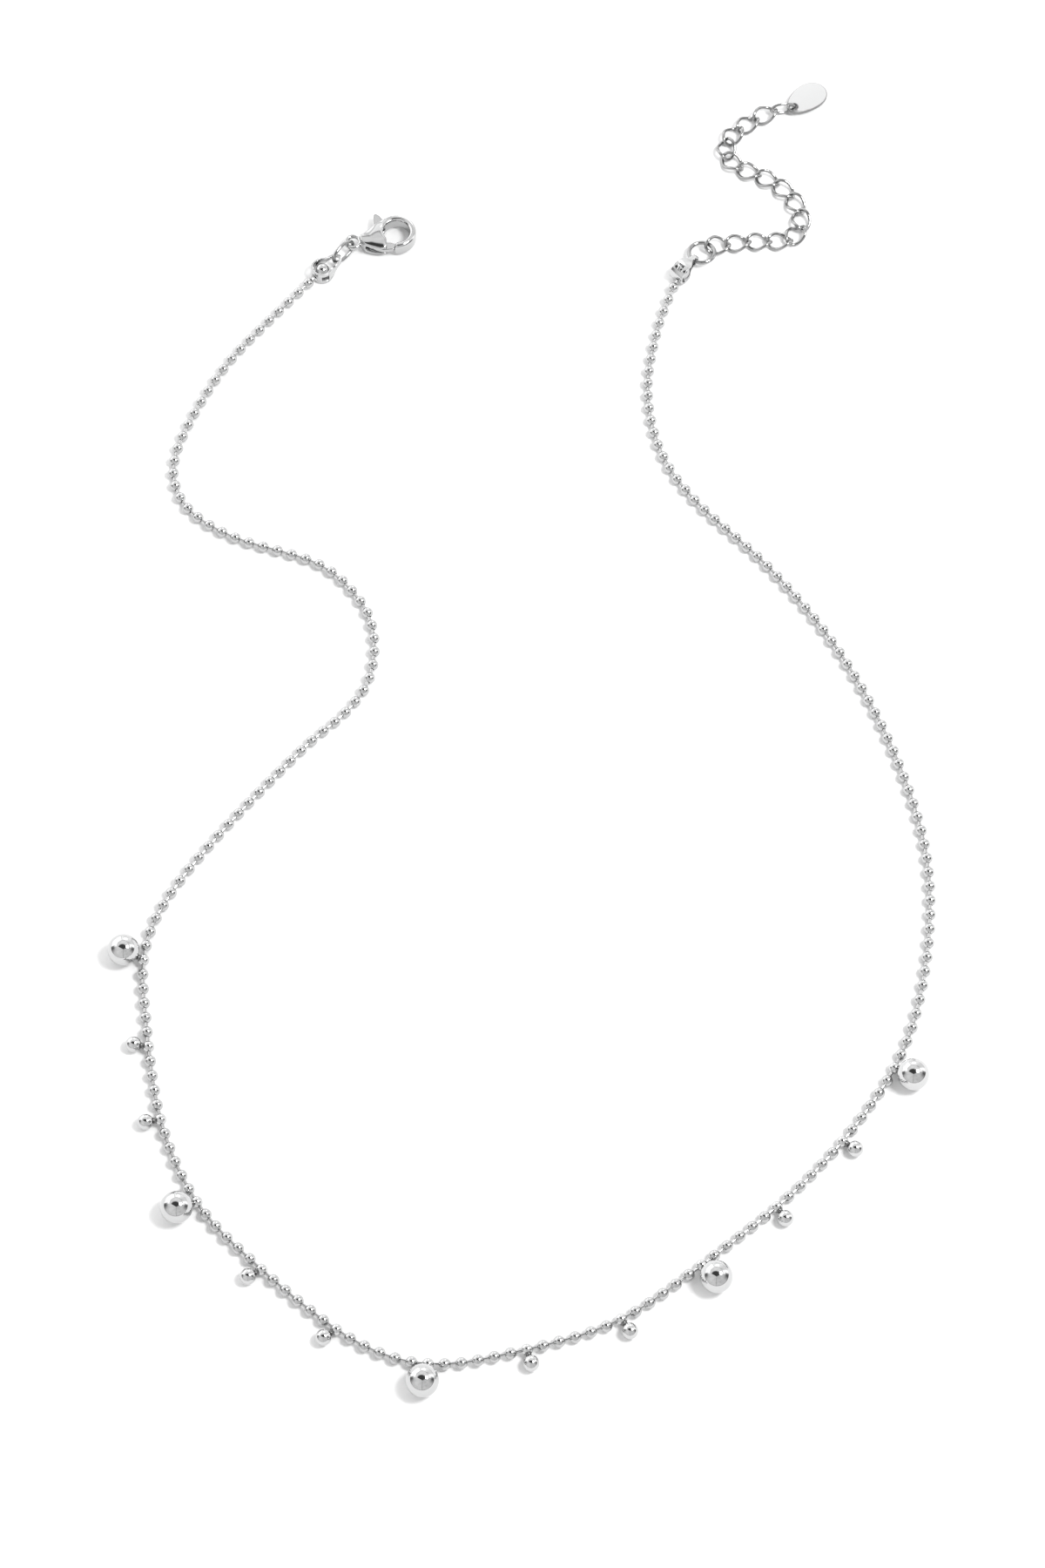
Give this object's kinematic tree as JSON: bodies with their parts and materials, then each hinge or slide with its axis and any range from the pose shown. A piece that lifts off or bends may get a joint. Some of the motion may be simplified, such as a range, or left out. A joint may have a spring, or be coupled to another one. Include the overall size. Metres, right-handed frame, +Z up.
{
  "type": "ball chain necklace",
  "caption": "Ball chain necklace with round steel drops along its front, strap connectors, a lobster clasp with a sprung lever, and a curb link extension with a plain oval tag.",
  "frame": {"origin": "centre of the necklace's outline on the table it lies on", "axes": "+Y from the front of the necklace towards its open ends, the longest side; +X to the wearer's left as it lies in the view, with the extension; +Z up from the table"},
  "size_m": [0.1044, 0.1958, 0.004],
  "materials": {
    "steel": "polished stainless steel"
  },
  "bodies": {
    "necklace": {"ball_chain": "steel", "chain_wire": "steel", "drop_large_1": "steel", "drop_large_2": "steel", "drop_large_3": "steel", "drop_large_4": "steel", "drop_large_5": "steel", "drop_small_1": "steel", "drop_small_2": "steel", "drop_small_3": "steel", "drop_small_4": "steel", "drop_small_5": "steel", "drop_small_6": "steel", "drop_small_7": "steel", "drop_small_8": "steel", "connector_left": "steel", "end_ball_left": "steel", "clasp_ring": "steel", "clasp_body": "steel", "clasp_rivet": "steel", "connector_right": "steel", "end_ball_right": "steel", "extension_ring": "steel", "link_1": "steel", "link_2": "steel", "link_3": "steel", "link_4": "steel", "link_5": "steel", "link_6": "steel", "link_7": "steel", "link_8": "steel", "link_9": "steel", "link_10": "steel", "link_11": "steel", "link_12": "steel", "link_13": "steel", "link_14": "steel", "link_15": "steel", "tag_ring": "steel", "tag": "steel"},
    "lever": {"clasp_lever": "steel"}
  },
  "joints": [
    {"name": "lever_hinge", "type": "hinge", "parent": "necklace", "child": "lever", "pos_m": [-0.02092, 0.06974, 0.0012], "axis": [0, 0, 1], "range_deg": [0, 28], "stiffness_Nm_per_rad": 0.002, "springref_deg": -17.19}
  ]
}
